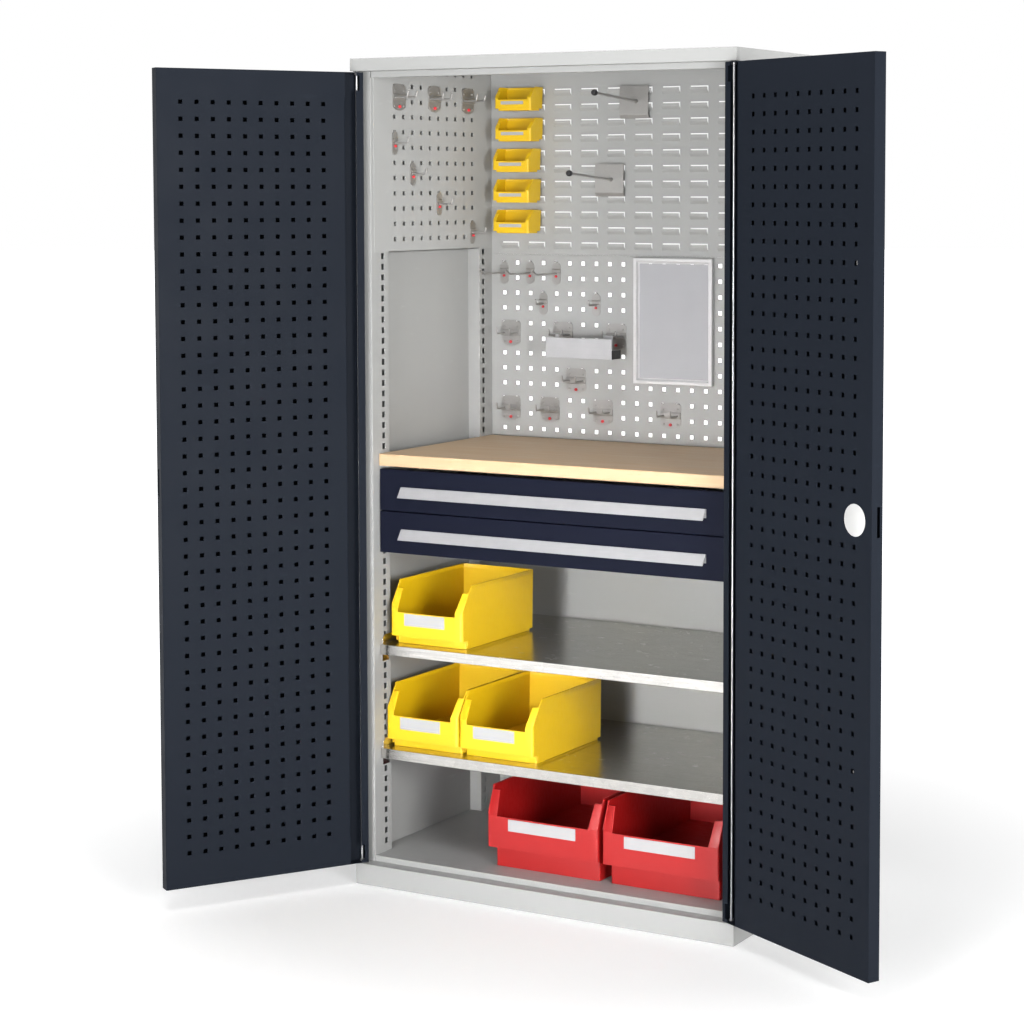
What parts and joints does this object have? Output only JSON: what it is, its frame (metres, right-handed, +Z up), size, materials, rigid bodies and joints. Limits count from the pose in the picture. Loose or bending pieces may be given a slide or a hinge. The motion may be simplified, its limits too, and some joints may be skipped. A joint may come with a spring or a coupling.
{
  "type": "tool cabinet",
  "caption": "Tall steel tool cabinet with two hinged doors lined with hook plates, beech worktop, drawers, shelves and storage bins.",
  "frame": {"origin": "middle of the carcass footprint on the floor", "axes": "+Z up, -Y towards the front that the doors close, +X to the right as seen from the front"},
  "size_m": [1.6864, 1.0106, 1.95],
  "materials": {
    "light_grey_paint": "satin powder coat",
    "anthracite_paint": "satin powder coat",
    "drawer_paint": "satin powder coat",
    "satin_aluminium": "satin anodised",
    "galvanised_steel": "galvanised",
    "plated_steel": "bright zinc plate",
    "beech": "lacquered",
    "bush_plastic": "moulded",
    "lock_plastic": "moulded",
    "white_plastic": "moulded",
    "blank_paper": "plain",
    "yellow_plastic": "moulded",
    "red_plastic": "moulded"
  },
  "bodies": {
    "cabinet": {"plinth": "light_grey_paint", "floor_panel": "light_grey_paint", "top_cap": "light_grey_paint", "header_rail": "light_grey_paint", "left_side_wall": "light_grey_paint", "left_uprights": "light_grey_paint", "left_side_hook_panel": "light_grey_paint", "right_side_wall": "light_grey_paint", "right_uprights": "light_grey_paint", "right_side_hook_panel": "light_grey_paint", "louvred_back_panel": "light_grey_paint", "perforated_back_panel": "light_grey_paint", "lower_back_panel": "light_grey_paint", "worktop": "beech", "worktop_bearers": "light_grey_paint", "drawer_side_plates": "light_grey_paint", "runner_outer_members": "galvanised_steel", "upper_shelf": "galvanised_steel", "lower_shelf": "galvanised_steel", "shelf_brackets": "galvanised_steel", "hinge_bushes": "bush_plastic", "side_double_hooks": "plated_steel", "side_single_hooks": "plated_steel", "back_single_hooks": "plated_steel", "back_double_hooks": "plated_steel", "rod_tool_holders": "plated_steel", "pen_tray": "satin_aluminium", "drawing_board_frame": "satin_aluminium", "drawing_sheet": "blank_paper", "hanging_bins": "yellow_plastic"},
    "left_door": {"left_door_pan": "anthracite_paint", "left_door_hook_plate": "anthracite_paint", "left_hinge_rod": "galvanised_steel"},
    "right_door": {"right_door_pan": "anthracite_paint", "right_door_hook_plate": "anthracite_paint", "right_hinge_rod": "galvanised_steel", "lock_body": "lock_plastic", "lock_bar_guides": "galvanised_steel", "lock_cover": "white_plastic"},
    "lock_turn": {"lock_knob": "lock_plastic", "lock_cam": "galvanised_steel"},
    "upper_bar": {"upper_lock_bar": "galvanised_steel"},
    "lower_bar": {"lower_lock_bar": "galvanised_steel"},
    "upper_drawer": {"upper_drawer_box": "light_grey_paint", "upper_drawer_front": "drawer_paint", "upper_drawer_handle": "satin_aluminium"},
    "lower_drawer": {"lower_drawer_box": "light_grey_paint", "lower_drawer_front": "drawer_paint", "lower_drawer_handle": "satin_aluminium"},
    "upper_runners": {"upper_runner_middle_members": "galvanised_steel"},
    "lower_runners": {"lower_runner_middle_members": "galvanised_steel"},
    "yellow_bin_upper_shelf": {"yellow_bin_upper_shelf": "yellow_plastic"},
    "yellow_bin_lower_shelf_left": {"yellow_bin_lower_shelf_left": "yellow_plastic"},
    "yellow_bin_lower_shelf_right": {"yellow_bin_lower_shelf_right": "yellow_plastic"},
    "red_bin_left": {"red_bin_left": "red_plastic"},
    "red_bin_right": {"red_bin_right": "red_plastic"}
  },
  "joints": [
    {"name": "left_door_swing", "type": "hinge", "parent": "cabinet", "child": "left_door", "pos_m": [-0.489, -0.289, 0], "axis": [0, 0, -1], "range_deg": [-122.3, 57.7]},
    {"name": "right_door_swing", "type": "hinge", "parent": "cabinet", "child": "right_door", "pos_m": [0.489, -0.289, 0], "axis": [0, 0, 1], "range_deg": [-152.6, 27.4]},
    {"name": "lock_knob_turn", "type": "hinge", "parent": "right_door", "child": "lock_turn", "pos_m": [0.88026, -0.47942, 0.986], "axis": [0.4602, 0.8878, 0], "range_deg": [0, 90]},
    {"name": "upper_bar_slide", "type": "slide", "parent": "right_door", "child": "upper_bar", "axis": [0, 0, 1], "range_m": [0, 0.018]},
    {"name": "lower_bar_slide", "type": "slide", "parent": "right_door", "child": "lower_bar", "axis": [0, 0, -1], "range_m": [0, 0.018]},
    {"name": "upper_drawer_slide", "type": "slide", "parent": "cabinet", "child": "upper_drawer", "axis": [0, -1, 0], "range_m": [0, 0.4]},
    {"name": "lower_drawer_slide", "type": "slide", "parent": "cabinet", "child": "lower_drawer", "axis": [0, -1, 0], "range_m": [0, 0.4]},
    {"name": "upper_runner_slide", "type": "slide", "parent": "cabinet", "child": "upper_runners", "axis": [0, -1, 0], "range_m": [0, 0.2]},
    {"name": "lower_runner_slide", "type": "slide", "parent": "cabinet", "child": "lower_runners", "axis": [0, -1, 0], "range_m": [0, 0.2]},
    {"name": "yellow_bin_upper_shelf_pull", "type": "slide", "parent": "cabinet", "child": "yellow_bin_upper_shelf", "axis": [0, -1, 0], "range_m": [0, 0.2]},
    {"name": "yellow_bin_lower_shelf_left_pull", "type": "slide", "parent": "cabinet", "child": "yellow_bin_lower_shelf_left", "axis": [0, -1, 0], "range_m": [0, 0.2]},
    {"name": "yellow_bin_lower_shelf_right_pull", "type": "slide", "parent": "cabinet", "child": "yellow_bin_lower_shelf_right", "axis": [0, -1, 0], "range_m": [0, 0.2]},
    {"name": "red_bin_left_pull", "type": "slide", "parent": "cabinet", "child": "red_bin_left", "axis": [0, -1, 0], "range_m": [0, 0.2]},
    {"name": "red_bin_right_pull", "type": "slide", "parent": "cabinet", "child": "red_bin_right", "axis": [0, -1, 0], "range_m": [0, 0.2]}
  ],
  "couplings": [
    {"joint": "upper_bar_slide", "follows": "lock_knob_turn", "m_per_rad": 0.011458},
    {"joint": "lower_bar_slide", "follows": "lock_knob_turn", "m_per_rad": 0.011458},
    {"joint": "upper_runner_slide", "follows": "upper_drawer_slide", "ratio": 0.5},
    {"joint": "lower_runner_slide", "follows": "lower_drawer_slide", "ratio": 0.5}
  ]
}
